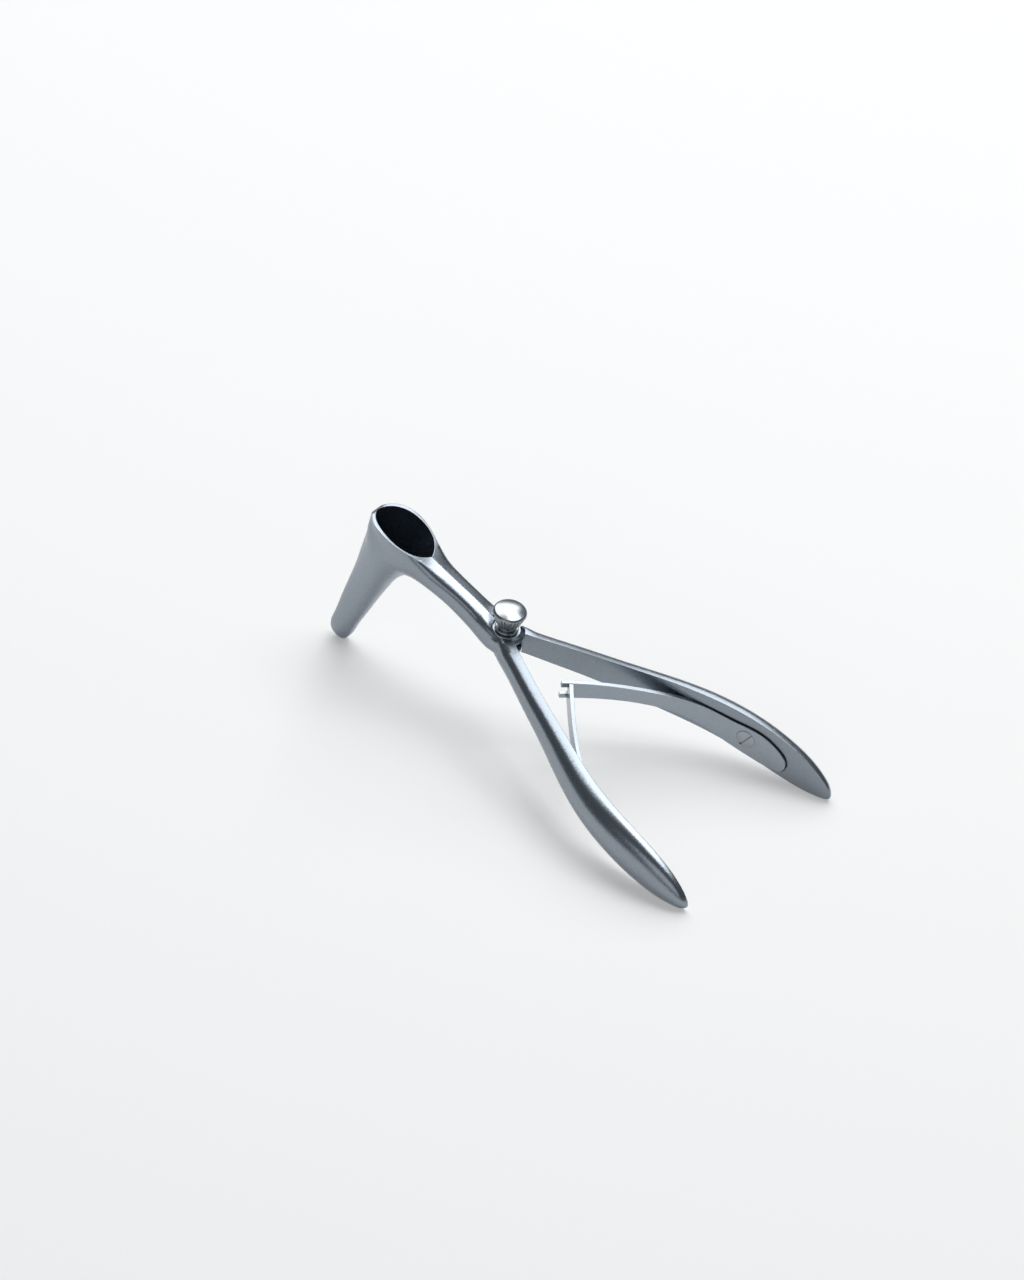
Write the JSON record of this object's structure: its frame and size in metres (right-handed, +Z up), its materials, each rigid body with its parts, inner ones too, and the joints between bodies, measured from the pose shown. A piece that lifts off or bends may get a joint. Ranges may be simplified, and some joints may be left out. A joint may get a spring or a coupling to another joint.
{
  "type": "bivalve speculum",
  "caption": "Short-bladed nasal speculum: two hinged halves with a funnel and sprung handles, held together by a knurled clamping screw.",
  "frame": {"origin": "on the surface the instrument lies on, below the middle of its outline", "axes": "+X from the blades to the handle ends, +Y to the right half, +Z up; the instrument stands on its blade tips and the lower edges of its handles"},
  "size_m": [0.1478, 0.0684, 0.0497],
  "materials": {
    "satin_steel": "satin",
    "polished_steel": "polished",
    "spring_steel": "satin"
  },
  "bodies": {
    "left_half": {"left_half": "satin_steel", "left_spring": "spring_steel", "left_spring_screw": "polished_steel"},
    "right_half": {"right_half": "satin_steel", "right_spring": "spring_steel", "right_spring_screw": "polished_steel"},
    "clamp_washer": {"clamp_washer": "polished_steel"},
    "clamp_screw": {"clamp_screw": "polished_steel", "screw_end_ring": "polished_steel"}
  },
  "joints": [
    {"name": "blade_hinge", "type": "hinge", "parent": "left_half", "child": "right_half", "pos_m": [-0.01504, 0, 0.02859], "axis": [-0.1495, 0, -0.9888], "range_deg": [0, 28], "stiffness_Nm_per_rad": 0.8, "springref_deg": -22.92, "deforming": ["left_spring", "right_spring"]},
    {"name": "clamp_screw_lift", "type": "slide", "parent": "left_half", "child": "clamp_washer", "axis": [0.1495, 0, 0.9888], "range_m": [0, 0.0005]},
    {"name": "clamp_screw_turn", "type": "hinge", "parent": "clamp_washer", "child": "clamp_screw", "pos_m": [-0.01504, 0, 0.02859], "axis": [0.1495, 0, 0.9888], "range_deg": [0, 360]}
  ],
  "couplings": [
    {"joint": "clamp_screw_turn", "follows": "clamp_screw_lift", "rad_per_m": 12566}
  ]
}
